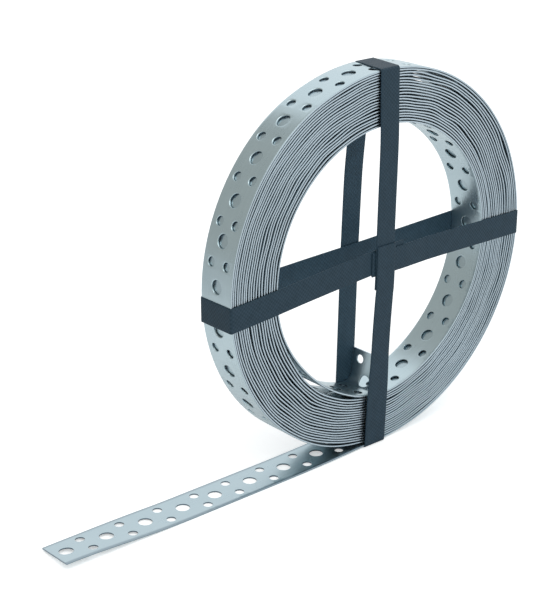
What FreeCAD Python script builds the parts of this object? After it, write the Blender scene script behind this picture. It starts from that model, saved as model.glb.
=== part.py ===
import FreeCAD, Part
import math
import os

# A coil of galvanized perforated strap, standing on its edge.
# X runs to the right across the coil's face, Y along the coil's axis away from the front, Z up.
# The origin is on the floor, straight under the coil's axis and midway across the strap.

# The strap
strap_width = 20.0
strap_thickness = 0.8
large_hole_diameter = 7.0
small_hole_diameter = 5.0
small_hole_spacing = 10.0  # between the two holes of a pair, across the strap
hole_pitch = 20.0  # from one large hole to the next; the pairs lie midway
holes_per_stroke = 8  # large holes that the punch makes before the strap moves on
stroke_step_loss = 2.3  # how much closer the next stroke starts

# The coil
coil_diameter = 179.0
bore_diameter = 128.0
turn_count = 20
edge_relief = 0.8  # how far every second turn boundary is set back in the coil's ends

# The free outer end, which lies on the floor
tail_length = 176.0  # from the coil's lowest line to the cut end
tail_rise_start = 18.0  # where the tail begins to climb over the binding band
tail_rise_end = 60.0
end_to_large_hole = 4.8
first_stroke_holes = 4  # large holes left of the stroke that the cut end went through

# The inner end, which lifts off the bore and is bent up
lift_start_angle = 196.0
bend_angle = 266.6  # where the bend begins
lift_height = 1.9  # how far the inner end stands off its turn midway between those angles
lift_at_bend = 0.3
bend_inner_radius = 3.6
bent_end_to_pair = 4.5  # from the cut edge to the pair of small holes
bent_end_height = 11.0  # straight part above the bend

# The two binding bands
band_width = 11.1
band_thickness = 0.6
band_fold_radius = 0.6  # outside of the folds over the coil's edges
vertical_band_bottom_x = -5.1
vertical_band_top_x = 0.7
horizontal_band_left_height = 85.3
horizontal_band_right_height = 89.6

# Where the ends of each band are welded together, one over the other, on the front
vertical_lap_bottom = 78.1
vertical_lap_top = 98.5  # cut end of the run that lies outside
horizontal_lap_left = -8.7  # cut end of the run that lies outside
horizontal_lap_right = 11.4
lap_ease = 12.0  # length over which the outer run comes down beside the lap

# Worked out from the sizes above
coil_radius = coil_diameter / 2
bore_radius = bore_diameter / 2
turn_pitch = (coil_radius - bore_radius) / turn_count
axis_height = band_thickness + coil_radius
half_width = strap_width / 2
reach = 4 * strap_thickness  # how far a punch passes beyond the strap's surface
Y_AXIS = FreeCAD.Vector(0, 1, 0)
coil_centre = FreeCAD.Vector(0, 0, axis_height)


def face_of(points):
    """Flat face inside a closed outline of straight lines."""
    return Part.Face(Part.makePolygon(points + points[:1]))


def around_coil(angle, radius, y=0.0):
    """Point at an angle in degrees round the coil's axis, from +X towards +Z."""
    a = math.radians(angle)
    return FreeCAD.Vector(radius * math.cos(a), y, axis_height + radius * math.sin(a))


def hole_stations(stop):
    """Distances from the cut end to each large hole and to the pair after it, as far as stop.

    A stroke of the punch makes holes_per_stroke of each, and the next one starts a little early.
    """
    place = end_to_large_hole
    left = first_stroke_holes
    while place < stop:
        yield place, place + hole_pitch / 2
        place += hole_pitch
        left -= 1
        if left == 0:
            place -= stroke_step_loss
            left = holes_per_stroke


def punches(along_axis, position, large):
    """Punch or pair of punches along a direction, centred on a point of the strap's middle plane."""
    radius = (large_hole_diameter if large else small_hole_diameter) / 2
    offsets = [0.0] if large else [-small_hole_spacing / 2, small_hole_spacing / 2]
    length = 2 * reach
    made = []
    for y in offsets:
        foot = position + FreeCAD.Vector(0, y, 0) - along_axis * reach
        made.append(Part.makeCylinder(radius, length, foot, along_axis))
    return made


def turned_coil():
    """Wound turns as one turned solid. Its ends slope in and out from turn to turn."""
    radii = [bore_radius + k * turn_pitch for k in range(turn_count + 1)]
    heights = [half_width - (edge_relief if k % 2 else 0.0) for k in range(turn_count + 1)]
    back = [FreeCAD.Vector(r, y, axis_height) for r, y in zip(radii, heights)]
    front = [FreeCAD.Vector(r, -y, axis_height) for r, y in zip(radii, heights)]
    return face_of(back + front[::-1]).revolve(coil_centre, Y_AXIS, 360)


def tail():
    """Free outer end: level over the binding band, then down by the band's thickness to the floor."""
    under = [
        (0.0, band_thickness),
        (-tail_rise_start, band_thickness),
        (-tail_rise_end, 0.0),
        (-tail_length, 0.0),
    ]
    lower = [FreeCAD.Vector(x, -half_width, z) for x, z in under]
    upper = [FreeCAD.Vector(x, -half_width, z + strap_thickness) for x, z in under]
    return face_of(lower + upper[::-1]).extrude(Y_AXIS * strap_width)


def tail_punches():
    """Holes of the free outer end, up to where it runs in under the coil."""
    up = FreeCAD.Vector(0, 0, 1)
    end = FreeCAD.Vector(-tail_length, 0, strap_thickness / 2)
    made = []
    for large, pair in hole_stations(tail_length - tail_rise_start):
        made += punches(up, end + FreeCAD.Vector(large, 0, 0), True)
        made += punches(up, end + FreeCAD.Vector(pair, 0, 0), False)
    return made


def inner_end():
    """Last stretch of the innermost turn, which lifts off the bore in one arc, with its end bent up."""
    middle_angle = (lift_start_angle + bend_angle) / 2
    lifts = [(lift_start_angle, 0.0), (middle_angle, lift_height), (bend_angle, lift_at_bend)]
    turn_radius = bore_radius + strap_thickness
    outer = [around_coil(angle, turn_radius - lift, -half_width) for angle, lift in lifts]
    outer_arc = Part.Arc(*outer).toShape()
    centre = outer_arc.Curve.Center
    inner = [point + (centre - point).normalize() * strap_thickness for point in outer]
    inner_arc = Part.Arc(*inner).toShape()

    across = (centre - outer[-1]).normalize()
    forward = Y_AXIS.cross(across).normalize()
    bend_centre = inner[-1] + across * bend_inner_radius
    turn = math.pi / 2 - math.atan2(forward.z, forward.x)

    def on_bend(radius, share):
        """Point of the bend, share of the way round it."""
        a = turn * share
        return bend_centre - across * (radius * math.cos(a)) + forward * (radius * math.sin(a))

    outer_radius = bend_inner_radius + strap_thickness
    middle_radius = bend_inner_radius + strap_thickness / 2
    up = FreeCAD.Vector(0, 0, bent_end_height)
    foot_outside = on_bend(outer_radius, 1)
    foot_inside = on_bend(bend_inner_radius, 1)
    edges = [
        outer_arc,
        Part.Arc(outer[-1], on_bend(outer_radius, 0.5), foot_outside).toShape(),
        Part.makeLine(foot_outside, foot_outside + up),
        Part.makeLine(foot_outside + up, foot_inside + up),
        Part.makeLine(foot_inside + up, foot_inside),
        Part.Arc(foot_inside, on_bend(bend_inner_radius, 0.5), inner[-1]).toShape(),
        inner_arc,
        Part.makeLine(inner[0], outer[0]),
    ]
    outline = Part.Wire(Part.__sortEdges__(edges))
    strip = Part.Face(outline).extrude(Y_AXIS * strap_width)

    pair = on_bend(middle_radius, 1) + up
    pair.y = 0
    pair.z -= bent_end_to_pair
    holes = punches(FreeCAD.Vector(1, 0, 0), pair, False)
    round_the_bend = hole_pitch / 2 - (bent_end_height - bent_end_to_pair)
    large = on_bend(middle_radius, 1 - round_the_bend / (turn * middle_radius))
    large.y = 0
    towards_centre = FreeCAD.Vector(bend_centre.x, 0, bend_centre.z) - large
    holes += punches(towards_centre.normalize(), large, True)
    return strip.cut(Part.makeCompound(holes))


def perforated_strap():
    """Coil, free outer end and lifted inner end, which are one length of strap."""
    outer_end = tail().cut(Part.makeCompound(tail_punches()))
    return turned_coil().fuse([outer_end, inner_end()]).removeSplitter()


def folded_loop(inside, outside, lap, corners, direction, middle, span):
    """Closed band: the ring between two outlines with its lap, carried along a direction by span.

    It is folded over the outside outline's corners.
    """
    start = middle - direction * (span / 2)
    ring = face_of(outside).cut(face_of(inside))
    ring.translate(start)
    second_layer = face_of(lap)
    second_layer.translate(start)
    band = ring.extrude(direction * span).fuse(second_layer.extrude(direction * span)).removeSplitter()

    def lies_on(edge, corner):
        """Whether an edge runs along the direction through a corner."""
        return all((v.Point - corner - middle).cross(direction).Length < 1e-6 for v in edge.Vertexes)

    folds = [edge for edge in band.Edges if any(lies_on(edge, corner) for corner in corners)]
    return band.makeFillet(band_fold_radius, folds)


def vertical_binding_band():
    """Band round the coil from top to bottom. It leans, and passes outside the other band."""
    top = 2 * band_thickness + coil_diameter

    def outline(grow):
        """Outline across the coil, pushed out by the other band at the crossings."""
        y = half_width + grow
        low = band_thickness - grow
        high = top - band_thickness + grow
        front = -y - 2 * band_thickness
        back = y + band_thickness
        return [
            FreeCAD.Vector(0, -y, low),
            FreeCAD.Vector(0, y, low),
            FreeCAD.Vector(0, back, vertical_lap_bottom),
            FreeCAD.Vector(0, back, vertical_lap_top),
            FreeCAD.Vector(0, y, high),
            FreeCAD.Vector(0, -y, high),
            FreeCAD.Vector(0, front, vertical_lap_top),
            FreeCAD.Vector(0, front, vertical_lap_bottom),
        ]

    outside = outline(band_thickness)
    corners = [outside[0], outside[1], outside[4], outside[5]]
    under_lap = outside[6].y
    lap = [
        FreeCAD.Vector(0, under_lap, vertical_lap_top),
        FreeCAD.Vector(0, under_lap - band_thickness, vertical_lap_top),
        FreeCAD.Vector(0, under_lap - band_thickness, vertical_lap_bottom),
        FreeCAD.Vector(0, under_lap + band_thickness, vertical_lap_bottom - lap_ease),
    ]
    x_axis = FreeCAD.Vector(1, 0, 0)
    band = folded_loop(outline(0), outside, lap, corners, x_axis, FreeCAD.Vector(), 4 * band_width)
    side = strap_width
    half = band_width / 2
    leaning = face_of(
        [
            FreeCAD.Vector(vertical_band_bottom_x - half, -side, 0),
            FreeCAD.Vector(vertical_band_bottom_x + half, -side, 0),
            FreeCAD.Vector(vertical_band_top_x + half, -side, top),
            FreeCAD.Vector(vertical_band_top_x - half, -side, top),
        ]
    )
    return band.common(leaning.extrude(Y_AXIS * (2 * side)))


def horizontal_binding_band():
    """Band round the coil from side to side. It rises to the right, under the other band."""

    def outline(grow):
        """Rectangular outline round the coil, seen from above."""
        x = coil_radius + grow
        y = half_width + grow
        return [
            FreeCAD.Vector(-x, -y, 0),
            FreeCAD.Vector(x, -y, 0),
            FreeCAD.Vector(x, y, 0),
            FreeCAD.Vector(-x, y, 0),
        ]

    outside = outline(band_thickness)
    under_lap = outside[0].y
    lap = [
        FreeCAD.Vector(horizontal_lap_left, under_lap, 0),
        FreeCAD.Vector(horizontal_lap_left, under_lap - band_thickness, 0),
        FreeCAD.Vector(horizontal_lap_right, under_lap - band_thickness, 0),
        FreeCAD.Vector(horizontal_lap_right + lap_ease, under_lap + band_thickness / 2, 0),
    ]
    z_axis = FreeCAD.Vector(0, 0, 1)
    band = folded_loop(outline(0), outside, lap, outside, z_axis, coil_centre, 4 * band_width)
    end = coil_radius + band_thickness
    side = strap_width
    half = band_width / 2
    rising = face_of(
        [
            FreeCAD.Vector(-end, -side, horizontal_band_left_height - half),
            FreeCAD.Vector(end, -side, horizontal_band_right_height - half),
            FreeCAD.Vector(end, -side, horizontal_band_right_height + half),
            FreeCAD.Vector(-end, -side, horizontal_band_left_height + half),
        ]
    )
    return band.common(rising.extrude(Y_AXIS * (2 * side)))


def main():
    """Write each piece to its own file."""
    os.makedirs("parts", exist_ok=True)
    pieces = {
        "perforated_strap": perforated_strap(),
        "vertical_binding_band": vertical_binding_band(),
        "horizontal_binding_band": horizontal_binding_band(),
    }
    for name, shape in pieces.items():
        solid = shape.Solids[0]
        solid.exportStep(os.path.join("parts", name + ".step"))
        print(name, len(shape.Solids), solid.isValid(), round(solid.Volume, 1), "mm3", solid.BoundBox)


main()
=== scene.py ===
"""A coil of galvanized perforated strap with two plastic binding bands, as it looks.

Everything is worked out in millimetres in the row frame and made in metres. Angles round the coil are in
degrees from +X towards +Z. Turns are counted from 0 at the outside, and distances along the strap start at its
cut end.
"""

import math
from collections import namedtuple

import bpy
import numpy as np
from mathutils import Matrix, Vector


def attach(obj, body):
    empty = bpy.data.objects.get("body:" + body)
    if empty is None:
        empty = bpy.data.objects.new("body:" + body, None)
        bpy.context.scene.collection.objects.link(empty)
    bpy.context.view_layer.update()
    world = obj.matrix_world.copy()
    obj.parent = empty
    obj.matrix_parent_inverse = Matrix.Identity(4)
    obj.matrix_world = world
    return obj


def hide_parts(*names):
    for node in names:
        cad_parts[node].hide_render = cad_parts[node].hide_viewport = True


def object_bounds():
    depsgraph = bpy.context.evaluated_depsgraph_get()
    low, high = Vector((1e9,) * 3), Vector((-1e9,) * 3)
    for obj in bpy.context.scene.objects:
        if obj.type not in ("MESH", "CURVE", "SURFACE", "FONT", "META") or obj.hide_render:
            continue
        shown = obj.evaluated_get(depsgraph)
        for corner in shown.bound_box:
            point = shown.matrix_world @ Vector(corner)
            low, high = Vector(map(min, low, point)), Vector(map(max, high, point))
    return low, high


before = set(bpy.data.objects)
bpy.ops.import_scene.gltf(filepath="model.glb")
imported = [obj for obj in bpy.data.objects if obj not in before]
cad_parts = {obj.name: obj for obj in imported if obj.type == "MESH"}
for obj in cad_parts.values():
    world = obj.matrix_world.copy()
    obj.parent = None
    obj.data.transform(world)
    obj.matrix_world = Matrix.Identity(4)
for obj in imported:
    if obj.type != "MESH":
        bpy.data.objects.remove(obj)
cad_low, cad_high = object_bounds()

MM = 0.001

# The strap and its holes
WIDTH = 20.0
THICKNESS = 0.8
LARGE_RADIUS = 3.15
SMALL_RADIUS = 2.1
PAIR_OFFSET = 5.0
PITCH = 20.0
CUT_TO_LARGE = 4.8
# The press punches eight pitches at a stroke, and the next stroke starts a little early
STROKE_HOLES = 8
STROKE_LOSS = 2.3

# The bands
BAND_THICKNESS = 0.6
UPRIGHT_BAND_WIDTH = 11.15
LEVEL_BAND_WIDTH = 11.5
BAND_LIP = 0.2
FOLD_RADIUS = 0.75
TOP_FOLD_RADIUS = 0.9

# The coil
AXIS_HEIGHT = round((cad_low[2] + cad_high[2]) / 2 / MM, 2)
BORE = 128.0
TURNS = 20
OUTER_MIDDLE = AXIS_HEIGHT - BAND_THICKNESS - THICKNESS / 2
INNER_MIDDLE = BORE / 2 + THICKNESS / 2
# How far the coil's outside and bore stand off their circles, as (angle, shift): the upright band has pressed
# the top down a little
TOP_PRESSED = 1.05
OUTSIDE_SHIFTS = [
    (0, 0.5), (15, 0.2), (30, 0.2), (40, 0.0), (55, -0.5), (70, -0.8), (84, -1.1), (92, -1.2), (100, -1.25),
    (112, -1.15), (120, -0.45), (130, -0.1), (145, -0.1), (180, -0.1), (230, 0), (260, 0), (300, 0), (335, 0.4),
    (345, 0.5), (360, 0.5),
]
BORE_SHIFTS = [
    (0, 0.6), (30, 0.3), (45, 0.0), (80, -0.6), (100, -0.8), (130, -0.7), (180, -0.6), (215, -0.8), (240, -0.1),
    (300, 0.3), (330, 0.5), (360, 0.6),
]
# Under the lifted end the other turns are pushed outward, over a bell of (middle, spread)
BORE_DENT = 1.9
BORE_DENT_BELL = (262.0, 24.0)

# The gaps between turns: the waves round the coil, how much waves and gaps vary, how much the outer gaps close
# on one side and the inner ones on the other, and the gap under the outermost turn, wider where it leaves
GAP_SEED = 20
GAP_WAVES = 26
GAP_WAVE_FALL = 0.06
GAP_SWING = 0.11
GAP_SPREAD = 0.10
GAP_LEAN = 0.32
OUTER_GAP = 0.45
OUTER_GAP_BELL = (246.0, 14.0)

# The free end: it lies a little nearer the front than the coil, its last stretch springs up and twists, and it
# is cut out of square
TAIL = round(-cad_low[0] / MM, 1)
TAIL_RISE = (-60.0, -18.0)
TAIL_ASIDE = 2.2
TAIL_ASIDE_RUN = (140.0, 195.0)
TAIL_LIFT = 1.6
TAIL_LIFT_RUN = 66.0
TAIL_TWIST = 0.1
TAIL_TWIST_RUN = 50.0
CUT_PAST = 0.9
CUT_SLANT = 0.05
CUT_RUN = 0.8

# Where a turn passes to the next place inwards
FIRST_CROSSING = (244.0, 270.0)
CROSSING = (228.0, 268.0)

# The inner end: the radii as (angle, radius) where it hangs away from its neighbour, then its bend and its flap
LIFTED_FROM = (176.0, 204.0)
LIFTED_RADII = [
    (190, 64.0), (200, 63.6), (210, 63.0), (220, 62.5), (230, 62.6), (240, 63.2), (247, 63.7), (252, 64.2),
    (257, 64.8), (262, 65.3), (266, 65.6),
]
BENT_AT = 265.2
BEND_RADIUS = 4.8
FLAP_ANGLE = 82.7
FLAP_LENGTH = 12.2


def smooth(low, high, value):
    """Zero below low, one above high, and an even ease between them."""
    t = np.clip((value - low) / (high - low), 0.0, 1.0)
    return t * t * (3 - 2 * t)


def read_off(pairs, value):
    """Value read off the straight lines between pairs of (place, value)."""
    places, values = zip(*pairs)
    return np.interp(value, places, values)


def softened(values, reach):
    """Values averaged with a bell of the given reach in samples; the ends stay in place."""
    window = np.hanning(2 * reach + 3)[1:-1]
    before = 2 * values[0] - values[reach:0:-1]
    after = 2 * values[-1] - values[-2:-reach - 2:-1]
    return np.convolve(np.concatenate([before, values, after]), window / window.sum(), mode="valid")


def round_bell(angles, middle, spread):
    """Bell of height one round the circle, about a middle angle."""
    away = (angles - middle + 180.0) % 360.0 - 180.0
    return np.exp(-0.5 * (away / spread) ** 2)


def unit(vectors):
    """Vectors brought to length one."""
    return vectors / np.linalg.norm(vectors, axis=1)[:, None]


# The strap's course

def turn_radii(angles):
    """Middle radius of each of the turns' places at the angles, as an array (turns, angles).

    Between two neighbours lies the strap's thickness and a small gap. Each gap is the exponential of a sum of
    waves round the coil, with its own phases, and all of them are scaled to fill what is left of the coil's
    depth.
    """
    rng = np.random.default_rng(GAP_SEED)
    waves = np.arange(1, GAP_WAVES + 1)
    heights = rng.normal(0.0, 1.0, (TURNS - 1, GAP_WAVES)) / (1.0 + GAP_WAVE_FALL * waves)
    phases = rng.uniform(0, 2 * math.pi, (TURNS - 1, GAP_WAVES))
    a = np.radians(angles)
    swing = (heights[:, :, None] * np.cos(waves[None, :, None] * a + phases[:, :, None])).sum(1)
    weight = np.exp(GAP_SWING * swing + rng.normal(0.0, GAP_SPREAD, (TURNS - 1, 1)))
    weight[0] = OUTER_GAP + OUTER_GAP * round_bell(angles, *OUTER_GAP_BELL)
    place = np.linspace(1.0, -1.0, TURNS - 1)[:, None]
    weight[1:] *= (1.0 + GAP_LEAN * place * np.cos(a))[1:]
    outer = OUTER_MIDDLE + read_off(OUTSIDE_SHIFTS, angles % 360.0)
    inner = INNER_MIDDLE + read_off(BORE_SHIFTS, angles % 360.0)
    inner = inner + BORE_DENT * round_bell(angles, *BORE_DENT_BELL)
    outer, inner = (softened(np.tile(r, 3), 40)[len(r) : 2 * len(r)] for r in (outer, inner))
    room = outer - inner - (TURNS - 1) * THICKNESS
    gaps = room * weight / weight.sum(0)
    inward = np.concatenate([np.zeros((1, len(angles))), np.cumsum(gaps + THICKNESS, axis=0)])
    return outer - inward


def bend_and_flap(before):
    """Points of the arc that bends the inner end up, and of the straight flap after it."""
    ahead = before[-1] - before[-4]
    heading = math.atan2(ahead[1], ahead[0])
    upright = math.radians(FLAP_ANGLE)
    centre = before[-1] + BEND_RADIUS * np.array([-math.sin(heading), math.cos(heading)])
    turned = np.linspace(heading, upright, 60)[1:]
    arc = centre - BEND_RADIUS * np.stack([-np.sin(turned), np.cos(turned)], 1)
    reach = np.linspace(0.3, FLAP_LENGTH, 40)[:, None]
    return [arc, arc[-1] + reach * np.array([math.cos(upright), math.sin(upright)])]


def strap_course():
    """Points (x, z) along the strap's middle plane, from the cut end to the bent-up inner end.

    The free end runs level along the floor and rises a little onto the band under the coil. Then each turn
    keeps its place in the coil and passes to the next place inwards near the bottom. The innermost turn hangs
    away from its neighbour near its end, which is bent up round a small radius. Returns the points, their
    distances from the cut end, and the distance at which each run starts.
    """
    tail_x = np.arange(-TAIL, -0.2, 0.4)
    runs = [np.stack([tail_x, THICKNESS / 2 + BAND_THICKNESS * smooth(*TAIL_RISE, tail_x)], 1)]
    angles = np.linspace(-90.0, 270.0, 1441)[:-1]
    places = turn_radii(angles)
    for k in range(TURNS - 1):
        step = smooth(*(CROSSING if k else FIRST_CROSSING), angles)
        radius = places[k] * (1 - step) + places[k + 1] * step
        runs.append(round_run(radius, angles))
    free = softened(read_off(LIFTED_RADII, angles), 24)
    part = smooth(*LIFTED_FROM, angles)
    wound = angles < BENT_AT
    runs.append(round_run((places[-1] * (1 - part) + free * part)[wound], angles[wound]))
    runs += bend_and_flap(runs[-1])
    points = np.concatenate(runs)
    steps = np.linalg.norm(np.diff(points, axis=0), axis=1)
    along = np.concatenate([[0.0], np.cumsum(steps)])
    firsts = np.cumsum([0] + [len(run) for run in runs[:-1]])
    return points, along, along[firsts]


def round_run(radius, angles):
    """Points (x, z) round the coil's axis."""
    a = np.radians(angles)
    return np.stack([radius * np.cos(a), AXIS_HEIGHT + radius * np.sin(a)], 1)


COURSE, ALONG, STARTS = strap_course()
TANGENT = unit(np.gradient(COURSE, ALONG, axis=0))
STRAP_LENGTH = ALONG[-1]


def length_at(turn, angle):
    """Distance from the cut end to an angle on a turn."""
    first = np.searchsorted(ALONG, STARTS[1 + turn] - 1e-6)
    last = np.searchsorted(ALONG, STARTS[2 + turn] - 1e-6)
    part = COURSE[first:last]
    found = np.degrees(np.arctan2(part[:, 1] - AXIS_HEIGHT, part[:, 0]))
    found = np.where(found < -90.001, found + 360.0, found)
    return float(np.interp(angle, found, ALONG[first:last]))


# The strap's surface

# The rounding of the long edges: places across, and how far the faces drop there
EDGE_ROWS = np.array([9.8, 9.93, 10.0])
EDGE_DROPS = np.array([0.0, 0.06, 0.2])
# How finely holes are made: sides, rings past the hole's radius, and the drop of each face at each ring
FINE = dict(
    sides=32, rings=[0.0, 0.12, 0.28, 0.42], tread=[0.27, 0.12, 0.03, 0.0], bore=[0.06, 0.015, 0.0, 0.0]
)
MEDIUM = dict(sides=16, rings=[0.0, 0.3], tread=[0.18, 0.0], bore=[0.04, 0.0])
COARSE = dict(sides=8, rings=[0.0], tread=[0.0], bore=[0.0])
# The mesh round a hole reaches this far past it, and stays this far from a stretch's ends
CELL_MARGIN = 0.8
CELL_CLEARANCE = 0.3
# How much painted shade goes on what isn't a hole's wall: the free end's rims and cut edges, and long edges
# elsewhere
TAIL_RIM_SHADE = 0.55
TAIL_EDGE_SHADE = 0.6
LONG_EDGE_SHADE = 0.35
# A stretch of the strap between two distances, with its large holes' distances, the spacing of its mesh, its
# side sway, and whether its tread and bore lie between turns
Stretch = namedtuple("Stretch", "name start stop larges detail spacing sway tread_hidden bore_hidden")


def cross_rows(sides):
    """The places across the strap where the mesh has lines, so that holes and plain stretches join."""
    inner = np.linspace(0.0, PAIR_OFFSET, sides // 8 + 1)
    outer = np.linspace(PAIR_OFFSET, EDGE_ROWS[0], sides // 8 + 1)
    half = np.concatenate([inner, outer[1:], EDGE_ROWS[1:]])
    return np.concatenate([-half[:0:-1], half])


def grid(s, y):
    """Plain mesh over s by y: points, drops of zero, and its four-sided faces."""
    points = np.stack(np.meshgrid(s, y, indexing="ij"), -1).reshape(-1, 2)
    i, j = np.meshgrid(np.arange(len(s) - 1), np.arange(len(y) - 1), indexing="ij")
    a = (i * len(y) + j).ravel()
    quads = np.stack([a, a + len(y), a + len(y) + 1, a + 1], 1)
    return points, np.zeros((len(points), 2)), quads


def hole_cell(detail, radius, half, low, middle, high):
    """A rectangle with a round hole: rings round the hole, the last of them joined to the rectangle's rim."""
    n = detail["sides"]
    q = n // 4
    lower = np.linspace(low, middle, q // 2 + 1)
    upper = np.linspace(middle, high, q // 2 + 1)
    up = np.concatenate([lower, upper[1:]])
    right = np.linspace(-half, half, q + 1)
    rim = np.concatenate(
        [
            np.stack([np.full(q, half), up[:-1]], 1),
            np.stack([right[:0:-1], np.full(q, high)], 1),
            np.stack([np.full(q, -half), up[:0:-1]], 1),
            np.stack([right[:-1], np.full(q, low)], 1),
        ]
    )
    turn = np.radians(-45.0) + 2 * math.pi * np.arange(n) / n
    circle = np.stack([np.cos(turn), np.sin(turn)], 1)
    layers = [np.array([0.0, middle]) + (radius + r) * circle for r in detail["rings"]] + [rim]
    points = np.concatenate(layers)
    drops = np.zeros((len(points), 2))
    count = len(detail["rings"])
    drops[: count * n, 0] = np.repeat(detail["tread"], n)
    drops[: count * n, 1] = np.repeat(detail["bore"], n)
    k, i = np.meshgrid(np.arange(count), np.arange(n), indexing="ij")
    a = (k * n + i).ravel()
    b = (k * n + (i + 1) % n).ravel()
    quads = np.stack([a, a + n, b + n, b], 1)
    return points, drops, quads


def hole_cells(stretch, rows):
    """The stretch's cells in order, as (middle, half length, parts): a large hole, or a pair of small ones."""
    detail = stretch.detail
    columns = detail["sides"] // 4 + 1
    side = rows[rows >= PAIR_OFFSET - 1e-9]
    edge = rows[rows >= EDGE_ROWS[0] - 1e-9]
    large_half = LARGE_RADIUS + CELL_MARGIN
    pair_half = SMALL_RADIUS + CELL_MARGIN
    large = [hole_cell(detail, LARGE_RADIUS, large_half, -PAIR_OFFSET, 0.0, PAIR_OFFSET)]
    large += [grid(np.linspace(-large_half, large_half, columns), y) for y in (side, -side[::-1])]
    pair = [
        hole_cell(detail, SMALL_RADIUS, pair_half, 0.0, PAIR_OFFSET, EDGE_ROWS[0]),
        hole_cell(detail, SMALL_RADIUS, pair_half, -EDGE_ROWS[0], -PAIR_OFFSET, 0.0),
    ]
    pair += [grid(np.linspace(-pair_half, pair_half, columns), y) for y in (edge, -edge[::-1])]
    cells = [(middle, large_half, large) for middle in stretch.larges]
    cells += [(middle + PITCH / 2, pair_half, pair) for middle in stretch.larges]
    low, high = stretch.start + CELL_CLEARANCE, stretch.stop - CELL_CLEARANCE
    return sorted((c for c in cells if low < c[0] - c[1] and c[0] + c[1] < high), key=lambda c: c[0])


def strap_sheet(stretch):
    """Flat mesh in (distance along, distance across) of a stretch of strap with its holes.

    Returns points, drops of the tread face and of the bore face, and four-sided faces.
    """
    rows = cross_rows(stretch.detail["sides"])

    def plain(low, high):
        count = max(1, math.ceil((high - low) / stretch.spacing))
        return grid(np.linspace(low, high, count + 1), rows)

    blocks = []
    place = stretch.start
    for middle, half, cell in hole_cells(stretch, rows):
        blocks.append(plain(place, middle - half))
        shift = np.array([middle, 0.0])
        blocks += [(points + shift, drops, quads) for points, drops, quads in cell]
        place = middle + half
    blocks.append(plain(place, stretch.stop))
    offsets = np.cumsum([0] + [len(b[0]) for b in blocks])
    points = np.concatenate([b[0] for b in blocks])
    drops = np.concatenate([b[1] for b in blocks])
    quads = np.concatenate([b[2] + o for b, o in zip(blocks, offsets)])
    # Points of neighbouring blocks that fall on one another become one; the shift keeps whole numbers together
    keys_per_mm, key_shift = 2000.0, 0.137
    keys = np.round(points * keys_per_mm + key_shift).astype(np.int64)
    _, first, same = np.unique(keys, axis=0, return_index=True, return_inverse=True)
    points = points[first]
    drops = drops[first] + np.interp(np.abs(points[:, 1]), EDGE_ROWS, EDGE_DROPS)[:, None]
    return points, drops, same.reshape(-1)[quads]


def open_edges(quads):
    """Edges that belong to one face only, in that face's direction."""
    edges = np.concatenate([quads[:, [k, (k + 1) % 4]] for k in range(4)])
    keys = np.sort(edges, axis=1)
    _, first, count = np.unique(keys, axis=0, return_index=True, return_counts=True)
    return edges[first[count == 1]]


def mesh_object(name, vertices, faces, flat, marks):
    """Mesh object from arrays in millimetres.

    It is given each vertex's flat place for the UV map, and a value for each face under each mark. The faces
    are turned over where they would face inward.
    """
    if enclosed(vertices, faces) < 0:
        faces = faces[:, ::-1]
    mesh = bpy.data.meshes.new(name)
    mesh.vertices.add(len(vertices))
    mesh.vertices.foreach_set("co", (vertices * MM).astype(np.float32).ravel())
    mesh.loops.add(faces.size)
    mesh.loops.foreach_set("vertex_index", faces.astype(np.int32).ravel())
    mesh.polygons.add(len(faces))
    mesh.polygons.foreach_set("loop_start", np.arange(0, faces.size, 4, dtype=np.int32))
    mesh.update(calc_edges=True)
    layer = mesh.uv_layers.new(name="along_across")
    layer.data.foreach_set("uv", (flat[faces.ravel()] * MM).astype(np.float32).ravel())
    for label, values in marks.items():
        mark = mesh.attributes.new(label, "FLOAT", "FACE")
        mark.data.foreach_set("value", values.astype(np.float32))
    mesh.polygons.foreach_set("use_smooth", np.ones(len(faces), bool))
    mesh.set_sharp_from_angle(angle=math.radians(40.0))
    mesh.validate()
    made = bpy.data.objects.new(name, mesh)
    bpy.context.scene.collection.objects.link(made)
    return made


def enclosed(vertices, faces):
    """Volume inside four-sided faces, positive when they face outward."""
    a, b, c, d = (vertices[faces[:, k]] for k in range(4))
    return (np.cross(a, b) * c).sum() + (np.cross(a, c) * d).sum()


def on_course(points, drops, sway):
    """Vertices of the tread face and then of the bore face, for flat points (distance along, distance across).

    Each point goes to the course's point at its distance along, moved half the thickness less its drop along
    the course's normal, and its distance across becomes y. Sway narrows the strap a little and moves it to and
    fro in y as a sine of the distance along. Near the free end's cut, x, y and z are shifted as the values
    above say: by a lift, by a twist in proportion to the distance across, and by the slant of the cut.
    """
    s, y = points.T
    x, z = (np.interp(s, ALONG, COURSE[:, k]) for k in range(2))
    tangent_x, tangent_z = (np.interp(s, ALONG, TANGENT[:, k]) for k in range(2))
    across = y * (1.0 - 0.008 * sway) + 0.1 * sway * np.sin(s / 61.0 + 1.3 * np.sin(s / 173.0))
    across = across - TAIL_ASIDE * (1.0 - smooth(*TAIL_ASIDE_RUN, s))
    x = x - (CUT_PAST - CUT_SLANT * y) * np.clip(1.0 - s / CUT_RUN, 0.0, 1.0)
    lift = TAIL_LIFT * (1.0 - smooth(0.0, TAIL_LIFT_RUN, s))
    z = z + lift - y * TAIL_TWIST * (1.0 - smooth(0.0, TAIL_TWIST_RUN, s))
    depths = (THICKNESS / 2 - drops[:, 0], -THICKNESS / 2 + drops[:, 1])
    return np.concatenate([np.stack([x + tangent_z * d, across, z - tangent_x * d], 1) for d in depths])


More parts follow.
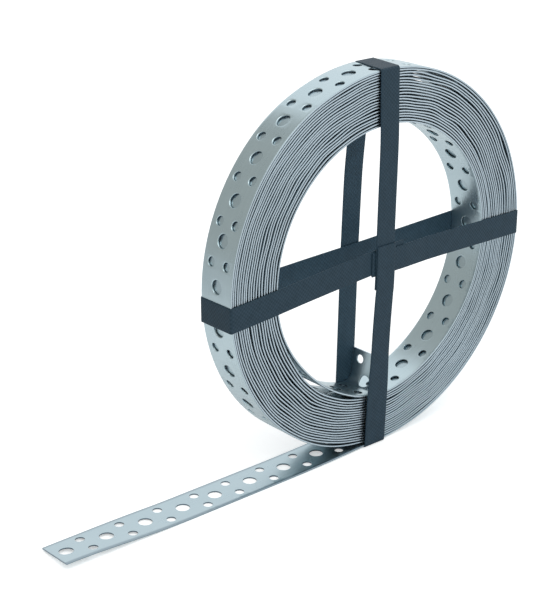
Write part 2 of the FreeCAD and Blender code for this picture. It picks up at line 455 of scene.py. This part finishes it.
def strap_marks(stretch, points, drops, quads, edges):
    """Values of each mark for the faces of the tread, of the bore and of the walls at the open edges."""
    ends = points[edges]
    outer = (np.abs(ends[..., 1]) > 9.9).all(1)
    for end in (stretch.start, stretch.stop):
        outer |= (np.abs(ends[..., 0] - end) < 1e-6).all(1)
    reach = np.abs(points[quads, 1])
    on_tail = points[quads, 0].max(1) < TAIL
    deep = smooth(0.06, 0.2, drops[quads, 0].mean(1))
    # Painted shade on the free end's hole rims, on long edges between turns, and on the free end's cut edges
    rim = TAIL_RIM_SHADE * on_tail * deep * (reach.max(1) < EDGE_ROWS[0])
    side = LONG_EDGE_SHADE * (reach.min(1) > EDGE_ROWS[0] - 1e-6) * ~on_tail
    tail_edge_shade = TAIL_EDGE_SHADE * (ends[..., 0].mean(1) < TAIL)
    plain = np.zeros(len(quads))
    # Painted shade on faces that lie between turns
    hidden = [plain + stretch.tread_hidden, plain + stretch.bore_hidden, np.zeros(len(edges))]
    return {
        # The first mark is painted shade: hole walls fully, rims and edges in part
        "painted_shade_walls_edges": np.concatenate([rim + side, side, np.where(outer, tail_edge_shade, 1.0)]),
        "cut_edge": np.concatenate([plain, plain, outer]),
        "painted_shade_between_turns": np.concatenate(hidden),
    }


def strap_piece(stretch):
    """A stretch of the strap as a closed mesh: two faces on the course, and walls at every open edge."""
    points, drops, quads = strap_sheet(stretch)
    edges = open_edges(quads)
    n = len(points)
    a, b = edges.T
    walls = np.stack([b, a, a + n, b + n], 1)
    vertices = on_course(points, drops, stretch.sway)
    faces = np.concatenate([quads, quads[:, ::-1] + n, walls])
    marks = strap_marks(stretch, points, drops, quads, edges)
    return mesh_object(stretch.name, vertices, faces, np.concatenate([points, points]), marks)


def stations(first, last):
    """Places a pitch apart from first to last."""
    return first + PITCH * np.arange(math.ceil((last - first) / PITCH))


def outermost_holes():
    """Distances to the large holes of the free end and, past what the coil hides, of the outermost turn."""
    i = np.arange(9)
    tail = CUT_TO_LARGE + PITCH * i - STROKE_LOSS * (i > 3)
    i = np.arange(-18, 8)
    stretched = 1.2 * np.maximum(i - 2, 0)
    wound = 568.5 + PITCH * i - STROKE_LOSS * (i // STROKE_HOLES) + stretched
    hidden = np.linspace(tail[-1], wound[0], 4)[1:-1]
    return np.concatenate([tail, hidden, wound])


def innermost_holes():
    """Distances to the large holes of the innermost turn and the bent end, on both sides of a hidden stretch."""
    lower_right = length_at(19, 36.8) - PITCH * np.arange(9)[::-1]
    upper_right = length_at(19, 52.8)
    bent_end = STRAP_LENGTH - 14.5 - PITCH * np.arange(4)[::-1]
    left_count = round((bent_end[0] - upper_right) / PITCH)
    left = np.linspace(upper_right, bent_end[0], left_count + 1)
    return np.concatenate([lower_right, left, bent_end[1:]])


def build_strap():
    """The whole strap in five closed stretches, whose joints lie under the upright band."""
    joints = [length_at(turn, angle) for turn, angle in ((0, 267.2), (2, 267.2), (16, 267.2), (18, 264.0))]
    ends = [0.0, *joints, STRAP_LENGTH]
    second = stations(length_at(1, 168.8) - 70 * PITCH, ends[2])
    second = np.where(second > length_at(1, 250.0), second + 7.0, second)
    middle = stations(ends[2] + 3.0, ends[3])
    seen = length_at(18, 1.0) + 7.3
    inner = stations(seen - PITCH * math.floor((seen - ends[3]) / PITCH), ends[4])
    layout = [
        ("outermost_turn_and_free_end", outermost_holes(), FINE, 2.5, 0.0),
        ("second_and_third_turns", second, MEDIUM, 3.0, 1.0),
        ("middle_turns", middle, COARSE, 3.0, 1.0),
        ("inner_turns", inner, MEDIUM, 3.0, 1.0),
        ("innermost_turn_and_bent_end", innermost_holes(), FINE, 1.2, 0.6),
    ]
    pieces = []
    for k, (name, larges, detail, spacing, sway) in enumerate(layout):
        last = k == len(layout) - 1
        stretch = Stretch(name, ends[k], ends[k + 1], larges, detail, spacing, sway, k > 0, not last)
        piece = strap_piece(stretch)
        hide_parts("perforated_strap")
        pieces.append(piece)
    return pieces


# The binding bands

def rounded_course(corners, radii, step=3.0):
    """Points along straight runs between corners, with an arc of the given radius at each inner corner.

    Returns the points and their distances along. Straight runs have a point at each step.
    """
    corners = np.array(corners, float)
    out = [corners[:1]]
    for k in range(1, len(corners) - 1):
        before = corners[k - 1] - corners[k]
        after = corners[k + 1] - corners[k]
        before /= np.linalg.norm(before)
        after /= np.linalg.norm(after)
        half = math.acos(float(np.clip(before @ after, -1, 1))) / 2
        if radii[k] == 0 or half > math.radians(89.5):
            out.append(corners[k : k + 1])
            continue
        back = radii[k] / math.tan(half)
        inward = (before + after) / np.linalg.norm(before + after)
        middle = corners[k] + inward * radii[k] / math.sin(half)
        a = corners[k] + before * back - middle
        b = corners[k] + after * back - middle
        t = np.linspace(0, 1, 9)[:, None]
        swing = math.acos(float(np.clip(a @ b / (a @ a), -1, 1)))
        out.append(middle + (np.sin((1 - t) * swing) * a + np.sin(t * swing) * b) / math.sin(swing))
    out.append(corners[-1:])
    rough = np.concatenate(out)
    lengths = np.concatenate([[0.0], np.cumsum(np.linalg.norm(np.diff(rough, axis=0), axis=1))])
    at = np.unique(np.round(np.concatenate([lengths, np.arange(0.0, lengths[-1], step)]), 4))
    return np.stack([np.interp(at, lengths, rough[:, k]) for k in range(2)], 1), at


def band_section(width):
    """A band's section as points (across, up): a flat rectangle with half-round edges."""
    thin = BAND_THICKNESS / 2
    inset = width / 2 - BAND_LIP
    turn = np.radians(np.arange(-90.0, 91.0, 30.0))
    lip = np.stack([inset + BAND_LIP * np.cos(turn), thin * np.sin(turn)], 1)
    face = np.linspace(inset, -inset, 12)[1:-1]
    top = np.stack([face, np.full(len(face), thin)], 1)
    return np.concatenate([lip, top, -lip, -top])


def band_piece(name, course, at, side, spread, width, upright):
    """A closed flat band along a course in the plane across side, moved sideways by side at each point.

    Each course point carries the band's section along the course's normal, and spread widens it there. The two
    ends are closed by a ladder of faces that starts at the middle of a rounded edge.
    """
    tangent = unit(np.gradient(course, at, axis=0))
    normal = np.stack([tangent[:, 1], -tangent[:, 0]], 1)
    section = band_section(width)
    m, n = len(course), len(section)
    w = side[:, None] + spread[:, None] * section[None, :, 0]
    p = course[:, None, :] + normal[:, None, :] * section[None, :, 1, None]
    order = (w, p[..., 0], p[..., 1]) if upright else (p[..., 0], p[..., 1], w)
    vertices = np.stack(order, -1).reshape(-1, 3)
    i, j = np.meshgrid(np.arange(m - 1), np.arange(n), indexing="ij")
    a = (i * n + j).ravel()
    b = (i * n + (j + 1) % n).ravel()
    quads = np.stack([a, b, b + n, a + n], 1)
    k = np.arange(n // 2 - 1)
    cap = np.stack([(3 + k) % n, (4 + k) % n, (1 - k) % n, (2 - k) % n], 1)
    faces = np.concatenate([quads, cap[:, ::-1], cap + (m - 1) * n])
    flat = np.stack([np.repeat(at, n), np.tile(section[:, 0], m)], 1)
    made = mesh_object(name, vertices, faces, flat, {})
    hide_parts(name)
    made.name = name + "_look"
    return made


def upright_band():
    """The band over the coil's top and bottom: its course in (y, z), and its middle's x at each point.

    It starts at the front above the crossing, goes down ahead of the coil, spreads where it goes under it, comes
    up behind it, and ends at the front over its own start.
    """
    y = WIDTH / 2 + BAND_THICKNESS / 2
    low = BAND_THICKNESS / 2
    high = 2 * AXIS_HEIGHT - BAND_THICKNESS / 2 - TOP_PRESSED
    under = -(y + 2 * BAND_THICKNESS)
    over = under - BAND_THICKNESS
    back = y + BAND_THICKNESS
    corners = [
        (over, 98.6), (over, 76.0), (-y - 1.1, low), (y, low), (back, 80.0), (back, 96.0),
        (y, high - 0.5), (-y - 0.3, high), (under, 97.5), (under, 83.5), (under + 0.1, 78.1),
    ]
    radii = [0, 60, FOLD_RADIUS, FOLD_RADIUS, 40, 40, TOP_FOLD_RADIUS, TOP_FOLD_RADIUS, 40, 0, 0]
    course, at = rounded_course(corners, radii)
    z = course[:, 1]
    front = course[:, 0] < 0
    first = at < at[-1] / 2
    lower = read_off([(0, -5.0), (38, -3.45), (60, -2.6), (70, -1.95), (80, -1.15), (98.6, -1.0)], z)
    upper = read_off(
        [(78, -1.6), (98, -1.25), (110, -0.9), (122, -0.5), (130, -0.2), (149, 0.35), (161, -0.05), (180, -0.2)], z
    )
    rear = read_off([(0, -5.1), (45, -3.6), (60, -3.1), (107, -1.6), (121, -1.1), (128, -0.85), (180, 4.2)], z)
    ahead = np.where(first, lower, upper)
    share = np.clip(0.5 + course[:, 0] / (2 * y), 0.0, 1.0)
    across = ahead * (1 - share) + rear * share
    side = np.where((z > 1.5) & (z < high - 1.2), np.where(front, ahead, rear), across)
    spread = 1.0 + 0.13 * (first & front) * (1.0 - smooth(26.0, 48.0, z))
    side, spread = softened(side, 3), softened(spread, 2)
    return band_piece("vertical_binding_band", course, at, side, spread, UPRIGHT_BAND_WIDTH, True)


def level_band():
    """The band round the coil's sides: its course in (x, y), and its middle's height at each point.

    It starts at the front at the crossing, goes round the right and the back, and comes to the front again from
    the left, where it ends under its own start.
    """
    x = OUTER_MIDDLE + THICKNESS / 2 + BAND_THICKNESS / 2
    y = WIDTH / 2 + BAND_THICKNESS / 2
    left = -(x - 0.25)
    corners = [
        (-8.7, -y - BAND_THICKNESS), (12.5, -y - BAND_THICKNESS), (26.0, -y - 0.04), (x, -y), (x, y),
        (left, y), (left, -y), (11.4, -y),
    ]
    radii = [0, 30, 30, FOLD_RADIUS, FOLD_RADIUS, FOLD_RADIUS, FOLD_RADIUS, 0]
    course, at = rounded_course(corners, radii)
    px = course[:, 0]
    front = course[:, 1] < 0
    first = at < at[-1] / 2
    on_right = read_off([(-9, 90.2), (6, 90.1), (35, 90.2), (63, 89.8), (90, 89.4)], px)
    on_left = read_off(
        [(-90, 84.2), (-61, 86.55), (-51, 87.55), (-33.6, 88.95), (-17.4, 90.25), (11.4, 92.3)], px
    )
    rear = read_off([(-90, 83.9), (-62, 85.8), (-30, 86.75), (5, 87.5), (60, 89.3), (90, 90.2)], px)
    ahead = np.where(first, on_right, on_left)
    share = smooth(-y, y, course[:, 1])
    across = ahead * (1 - share) + rear * share
    side = softened(np.where(np.abs(px) < 88.5, np.where(front, ahead, rear), across), 3)
    return band_piece("horizontal_binding_band", course, at, side, np.ones(len(at)), LEVEL_BAND_WIDTH, False)


# Materials

def group(name, inputs, outputs):
    """New node group with inputs (name, kind, value) and outputs (name, kind), and its two end nodes."""
    tree = bpy.data.node_groups.new(name, "ShaderNodeTree")
    for label, kind, value in inputs:
        made = tree.interface.new_socket(name=label, in_out="INPUT", socket_type=kind)
        if value is not None:
            made.default_value = value
    for label, kind in outputs:
        tree.interface.new_socket(name=label, in_out="OUTPUT", socket_type=kind)
    return tree, tree.nodes.new("NodeGroupInput"), tree.nodes.new("NodeGroupOutput")


def put(tree, kind, settings=None, **values):
    """New node of a kind with its settings, and its inputs set or linked by name, or by number as i0, i1."""
    node = tree.nodes.new(kind)
    for key, value in (settings or {}).items():
        setattr(node, key, value)
    for key, value in values.items():
        numbered = key[0] == "i" and key[1:].isdigit()
        socket = node.inputs[int(key[1:])] if numbered else node.inputs[key.replace("_", " ")]
        if isinstance(value, bpy.types.NodeSocket):
            tree.links.new(value, socket)
        else:
            socket.default_value = value
    return node


def maths(tree, operation, a, b=0.0, clamp=False):
    """Value of a sum or other operation on two values or sockets."""
    return put(tree, "ShaderNodeMath", {"operation": operation, "use_clamp": clamp}, i0=a, i1=b).outputs[0]


def ramp(tree, value, low, high, to_low=0.0, to_high=1.0):
    """A value carried from one range to another with an even ease."""
    node = put(tree, "ShaderNodeMapRange", {"interpolation_type": "SMOOTHSTEP"}, Value=value)
    for label, number in (("From Min", low), ("From Max", high), ("To Min", to_low), ("To Max", to_high)):
        node.inputs[label].default_value = number
    return node.outputs["Result"]


def noise(tree, vector, scale, detail, roughness):
    """Noise between 0 and 1 over a vector."""
    values = dict(Vector=vector, Scale=scale, Detail=detail, Roughness=roughness)
    return put(tree, "ShaderNodeTexNoise", None, **values).outputs[0]


def mixed(tree, factor, first, second):
    """Colour between two colours or sockets."""
    return put(tree, "ShaderNodeMix", {"data_type": "RGBA"}, Factor=factor, A=first, B=second).outputs["Result"]


def parted(tree, vector):
    """The outputs X, Y and Z of a vector."""
    return put(tree, "ShaderNodeSeparateXYZ", None, Vector=vector).outputs


def own_place(tree, kind):
    """The object's own coordinates, or its own normal, or the world's direction, by the output's name."""
    return tree.nodes.new("ShaderNodeTexCoord").outputs[kind]


def face_mark(tree, label):
    """Value of one of the faces' marks."""
    return put(tree, "ShaderNodeAttribute", {"attribute_name": label}).outputs["Fac"]


def zinc_group():
    """Zinc coat: soft mottle, faint rolling streaks along the strap, and fine grain."""
    tree, ins, outs = group(
        "zinc_coat",
        [
            ("Place", "NodeSocketVector", None),
            ("Mottle", "NodeSocketFloat", 0.3),
            ("Streaks", "NodeSocketFloat", 0.4),
        ],
        [("Shade", "NodeSocketFloat"), ("Roughness", "NodeSocketFloat"), ("Height", "NodeSocketFloat")],
    )
    place = ins.outputs["Place"]
    patches = noise(tree, place, scale=90.0, detail=4.0, roughness=0.6)
    long_way = put(tree, "ShaderNodeMapping", None, Vector=place)
    long_way.inputs["Scale"].default_value = (14.0, 1500.0, 1.0)
    streaks = noise(tree, long_way.outputs[0], scale=1.0, detail=3.0, roughness=0.6)
    grain = noise(tree, place, scale=2600.0, detail=2.0, roughness=0.5)
    a = maths(tree, "MULTIPLY", maths(tree, "SUBTRACT", patches, 0.5), ins.outputs["Mottle"])
    b = maths(tree, "MULTIPLY", maths(tree, "SUBTRACT", streaks, 0.5), ins.outputs["Streaks"])
    rough = maths(tree, "ADD", maths(tree, "MULTIPLY", a, 0.35), maths(tree, "MULTIPLY", streaks, 0.12))
    height = maths(tree, "ADD", maths(tree, "MULTIPLY", streaks, 0.6), maths(tree, "MULTIPLY", grain, 0.25))
    for label, value in (("Shade", maths(tree, "ADD", a, b)), ("Roughness", rough), ("Height", height)):
        tree.links.new(value, outs.inputs[label])
    return tree


def emboss_group():
    """Diamond grid pressed into the bands: two sets of slanting ribs laid over one another."""
    tree, ins, outs = group(
        "pressed_diamonds",
        [("Place", "NodeSocketVector", None), ("Pitch", "NodeSocketFloat", 0.0012)],
        [("Height", "NodeSocketFloat")],
    )
    parts = parted(tree, ins.outputs["Place"])
    rate = maths(tree, "DIVIDE", 2 * math.pi, ins.outputs["Pitch"])
    ribs = []
    for sign in (1.0, -1.0):
        slanted = maths(tree, "ADD", parts["X"], maths(tree, "MULTIPLY", parts["Y"], sign))
        ribs.append(maths(tree, "SINE", maths(tree, "MULTIPLY", slanted, rate)))
    height = maths(tree, "MULTIPLY", maths(tree, "ADD", ribs[0], ribs[1]), 0.5)
    tree.links.new(height, outs.inputs["Height"])
    return tree


def new_material(name):
    """Material with its tree, its shader, and the UV place that goes along and across the strap."""
    material = bpy.data.materials.new(name)
    material.use_nodes = True
    tree = material.node_tree
    place = put(tree, "ShaderNodeUVMap", {"uv_map": "along_across"}).outputs[0]
    return material, tree, tree.nodes["Principled BSDF"], place


def steel():
    """Galvanized steel with greyer cut edges.

    Hole walls, the free end's rims and cut edges, and long edges elsewhere carry painted shade, with a painted
    glint where hole walls face up; faces that lie between turns carry painted shade too, most near the long edges.
    """
    material, tree, shader, place = new_material("galvanized_steel_look")
    coat = put(tree, "ShaderNodeGroup", {"node_tree": zinc_group()}, Place=place, Mottle=0.34, Streaks=0.30)
    cut = face_mark(tree, "cut_edge")
    # Painted shade on hole walls, the free end's rims and cut edges, and long edges
    wall = face_mark(tree, "painted_shade_walls_edges")
    # Painted glint: hole walls that face up lose their painted shade and take the strap's lighter colour
    faces_up = ramp(tree, parted(tree, own_place(tree, "Normal"))["Z"], 0.0, 0.4, 0.0, 0.95)
    painted_glint = maths(tree, "MULTIPLY", ramp(tree, wall, 0.7, 0.9), faces_up)
    wall = maths(tree, "MULTIPLY", wall, maths(tree, "SUBTRACT", 1.0, painted_glint))
    # Painted shade between turns: a little all over, most near the long edges
    painted_gap_shade = ramp(tree, maths(tree, "ABSOLUTE", parted(tree, place)["Y"]), 0.0080, 0.0096, 0.15, 0.57)
    dark = maths(tree, "MAXIMUM", wall, maths(tree, "MULTIPLY", face_mark(tree, "painted_shade_between_turns"), painted_gap_shade))
    amount = maths(tree, "ADD", coat.outputs["Shade"], 0.5, True)
    zinc = mixed(tree, amount, (0.46, 0.58, 0.64, 1.0), (0.68, 0.80, 0.83, 1.0))
    edged = mixed(tree, cut, zinc, (0.61, 0.70, 0.77, 1.0))
    # The dark colour is painted shade on walls, edges and the faces between turns
    tree.links.new(mixed(tree, dark, edged, (0.14, 0.19, 0.24, 1.0)), shader.inputs["Base Color"])
    shader.inputs["Metallic"].default_value = 1.0
    rough = maths(tree, "ADD", coat.outputs["Roughness"], 0.24)
    rough = maths(tree, "ADD", rough, maths(tree, "MULTIPLY", cut, 0.12), True)
    tree.links.new(rough, shader.inputs["Roughness"])
    bump = put(tree, "ShaderNodeBump", None, Height=coat.outputs["Height"], Strength=0.12, Distance=0.0002)
    tree.links.new(bump.outputs[0], shader.inputs["Normal"])
    return material


def polypropylene():
    """Slate-black plastic strapping with its pressed grid, its grooves darkened by painted shade, and a little
    paler on the side that faces the bore, which is painted light.
    """
    material, tree, shader, place = new_material("dark_polypropylene_look")
    emboss = put(tree, "ShaderNodeGroup", {"node_tree": emboss_group()}, Place=place, Pitch=0.0019)
    height = emboss.outputs["Height"]
    cloud = noise(tree, place, scale=220.0, detail=3.0, roughness=0.6)
    patches = ramp(tree, cloud, 0.3, 0.7, 0.3, 0.7)
    # Painted shade in the pressed grid's grooves and painted highlight on its ribs, over random tone patches
    shade = maths(tree, "ADD", maths(tree, "MULTIPLY", height, 0.45), patches, True)
    outer_side = mixed(tree, shade, (0.013, 0.033, 0.050, 1.0), (0.026, 0.053, 0.079, 1.0))
    # Painted light: the side that faces the bore gets paler colours
    painted_lit_inner_side = mixed(tree, shade, (0.024, 0.056, 0.083, 1.0), (0.046, 0.092, 0.133, 1.0))
    depth = parted(tree, own_place(tree, "Object"))["Y"]
    outward = maths(tree, "MULTIPLY", depth, parted(tree, own_place(tree, "Normal"))["Y"])
    colour = mixed(tree, ramp(tree, outward, 0.0, -0.008), outer_side, painted_lit_inner_side)
    tree.links.new(colour, shader.inputs["Base Color"])
    tree.links.new(ramp(tree, cloud, 0.2, 0.8, 0.46, 0.54), shader.inputs["Roughness"])
    shader.inputs["Specular IOR Level"].default_value = 0.2
    bump = put(tree, "ShaderNodeBump", None, Height=height, Strength=0.4, Distance=0.0001)
    tree.links.new(bump.outputs[0], shader.inputs["Normal"])
    return material


# Floor, light and camera

def build_stage():
    """Pale round floor that keeps the object's shadow, and glows to the camera until it is white.

    Its far left is greyer, for the coil's left to mirror, and glows more to make up for it.
    """
    turn = np.radians(np.arange(0.0, 360.0, 3.0))
    rim = 1500.0 * np.stack([np.cos(turn), np.sin(turn), np.zeros(len(turn))], 1)
    mesh = bpy.data.meshes.new("floor")
    mesh.from_pydata((rim * MM).tolist(), [], [list(range(len(rim)))])
    floor = bpy.data.objects.new("floor", mesh)
    bpy.context.scene.collection.objects.link(floor)
    material = bpy.data.materials.new("pale_floor")
    material.use_nodes = True
    tree = material.node_tree
    shader = tree.nodes["Principled BSDF"]
    spot = parted(tree, own_place(tree, "Object"))
    to_right = maths(tree, "MULTIPLY", spot["X"], 0.87)
    to_right = maths(tree, "SUBTRACT", to_right, maths(tree, "MULTIPLY", spot["Y"], 0.49))
    pale = ramp(tree, to_right, -0.34, -0.20)
    colour = mixed(tree, pale, (0.60, 0.61, 0.62, 1.0), (0.88, 0.89, 0.90, 1.0))
    tree.links.new(colour, shader.inputs["Base Color"])
    shader.inputs["Roughness"].default_value = 0.9
    shader.inputs["Specular IOR Level"].default_value = 0.0
    shader.inputs["Emission Color"].default_value = (1.0, 1.0, 1.0, 1.0)
    seen = tree.nodes.new("ShaderNodeLightPath").outputs["Is Camera Ray"]
    glow = maths(tree, "MULTIPLY", seen, ramp(tree, pale, 0.0, 1.0, 0.68, 0.42))
    tree.links.new(glow, shader.inputs["Emission Strength"])
    mesh.materials.append(material)


def build_world():
    """White to the camera; to the object a studio that is white at the back right and grey at the left."""
    world = bpy.data.worlds.new("studio")
    bpy.context.scene.world = world
    world.use_nodes = True
    tree = world.node_tree
    tree.nodes.clear()
    towards = parted(tree, own_place(tree, "Generated"))
    side = ramp(tree, towards["X"], 0.0, 0.15, 0.46, 1.0)
    ahead = ramp(tree, towards["Y"], -0.3, 0.3, 1.0, 0.0)
    level = maths(tree, "MAXIMUM", side, maths(tree, "MULTIPLY", ahead, 0.75))
    tint = mixed(tree, ramp(tree, towards["X"], -0.2, 0.2), (0.99, 1.0, 0.96, 1.0), (0.96, 0.985, 1.0, 1.0))
    soft = put(tree, "ShaderNodeBackground", None, Color=tint, Strength=level)
    white = put(tree, "ShaderNodeBackground", None, Color=(1.0, 1.0, 1.0, 1.0), Strength=1.0)
    seen = tree.nodes.new("ShaderNodeLightPath").outputs["Is Camera Ray"]
    shown = put(tree, "ShaderNodeMixShader", None, i0=seen, i1=soft.outputs[0], i2=white.outputs[0])
    out = tree.nodes.new("ShaderNodeOutputWorld")
    tree.links.new(shown.outputs[0], out.inputs["Surface"])


def softbox(name, place, target, width, height, power):
    """Flat soft lamp that looks at a target, all in metres and watts."""
    lamp = bpy.data.lights.new(name, "AREA")
    lamp.shape = "RECTANGLE"
    lamp.size = width
    lamp.size_y = height
    lamp.energy = power
    made = bpy.data.objects.new(name, lamp)
    look = (Vector(target) - Vector(place)).to_track_quat("-Z", "Y").to_matrix().to_4x4()
    made.matrix_world = Matrix.Translation(place) @ look
    bpy.context.scene.collection.objects.link(made)


def build_camera():
    """Camera at the photograph's place: it looks along its azimuth from +Y towards +X, and down."""
    azimuth, elevation = 0.709, 0.3764
    eye = Vector((-465.09, -477.16, 330.97)) * MM
    level = math.cos(elevation)
    ahead = Vector((math.sin(azimuth) * level, math.cos(azimuth) * level, -math.sin(elevation)))
    right = Vector((math.cos(azimuth), -math.sin(azimuth), 0.0))
    up = right.cross(ahead)
    camera = bpy.data.objects.new("camera", bpy.data.cameras.new("camera"))
    camera.data.lens = 92.887
    camera.data.sensor_width = 36.0
    camera.data.clip_start = 0.05
    camera.data.clip_end = 50.0
    columns = Matrix((right, up, -ahead)).transposed().to_4x4()
    camera.matrix_world = Matrix.Translation(eye) @ columns
    bpy.context.scene.collection.objects.link(camera)
    bpy.context.scene.camera = camera


def main():
    """The object on its floor, lit and seen as in the photograph."""
    strap = build_strap()
    bands = [upright_band(), level_band()]
    metal, plastic = steel(), polypropylene()
    for piece in strap:
        piece.data.materials.append(metal)
        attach(piece, "root")
    for piece in bands:
        piece.data.materials.append(plastic)
        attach(piece, "root")
    build_stage()
    build_world()
    target = (0.0, 0.0, 0.08)
    softbox("top_light", (-0.5, -0.5, 1.6), target, width=1.6, height=1.6, power=9.0)
    build_camera()
    bpy.context.scene.view_settings.view_transform = "Standard"


main()
